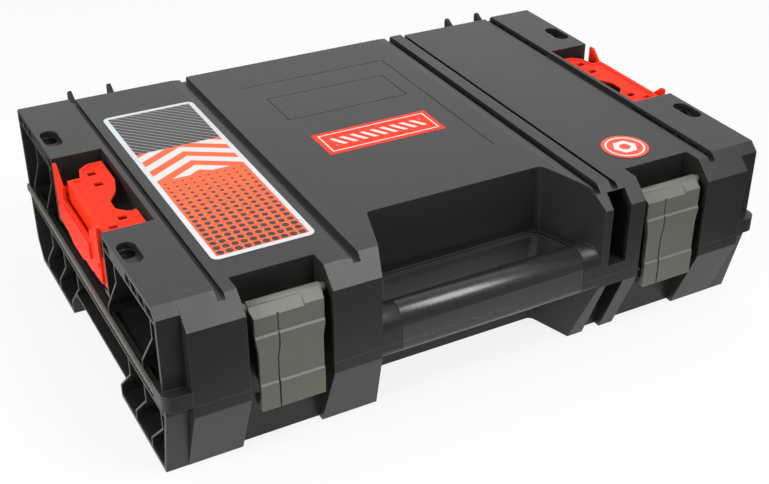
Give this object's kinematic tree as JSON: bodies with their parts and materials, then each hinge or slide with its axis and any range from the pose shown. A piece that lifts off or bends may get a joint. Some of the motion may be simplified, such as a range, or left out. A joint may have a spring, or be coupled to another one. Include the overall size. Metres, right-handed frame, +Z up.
{
  "type": "hard tool case",
  "caption": "Flat hard case with a hinged lid, drop latches, a front bar handle in a hand recess, ribbed open ends and sliding clips for stacking.",
  "frame": {"origin": "middle of the closed case's footprint, on the ground", "axes": "+X to the right along the width, +Z up, the handle and latches face -Y and the hinges +Y"},
  "size_m": [0.45, 0.322, 0.126],
  "materials": {
    "shell_plastic": "dark charcoal polypropylene, finely grained",
    "latch_plastic": "warm grey moulded plastic",
    "clip_plastic": "red-orange moulded plastic, satin",
    "pin_steel": "drawn steel pin",
    "badge_plastic": "red-orange moulded plate",
    "label_film": "printed film label",
    "sticker_film": "printed film sticker"
  },
  "bodies": {
    "base": {"base_shell": "shell_plastic", "base_end_left": "shell_plastic", "base_end_right": "shell_plastic", "grip_lower": "shell_plastic", "keeper_left": "shell_plastic", "keeper_right": "shell_plastic", "hinge_pin_left": "pin_steel", "hinge_pin_right": "pin_steel"},
    "lid": {"lid_shell": "shell_plastic", "lid_end_left": "shell_plastic", "lid_end_right": "shell_plastic", "grip_upper": "shell_plastic", "latch_pin_left": "pin_steel", "latch_pin_right": "pin_steel", "badge_plate": "badge_plastic", "label_sticker": "label_film", "round_sticker": "sticker_film"},
    "latch_left": {"latch_left": "latch_plastic"},
    "latch_right": {"latch_right": "latch_plastic"},
    "clip_left": {"stack_clip_left": "clip_plastic"},
    "clip_right": {"stack_clip_right": "clip_plastic"}
  },
  "joints": [
    {"name": "lid_hinge", "type": "hinge", "parent": "base", "child": "lid", "pos_m": [0, 0.152, 0.062], "axis": [-1, 0, 0], "range_deg": [0, 100]},
    {"name": "latch_left_pivot", "type": "hinge", "parent": "lid", "child": "latch_left", "pos_m": [-0.1445, -0.1495, 0.11], "axis": [-1, 0, 0], "range_deg": [0, 100]},
    {"name": "latch_right_pivot", "type": "hinge", "parent": "lid", "child": "latch_right", "pos_m": [0.1445, -0.1495, 0.11], "axis": [-1, 0, 0], "range_deg": [0, 100]},
    {"name": "clip_left_slide", "type": "slide", "parent": "lid", "child": "clip_left", "axis": [0, 0, 1], "range_m": [0, 0.018]},
    {"name": "clip_right_slide", "type": "slide", "parent": "lid", "child": "clip_right", "axis": [0, 0, 1], "range_m": [0, 0.018]}
  ]
}
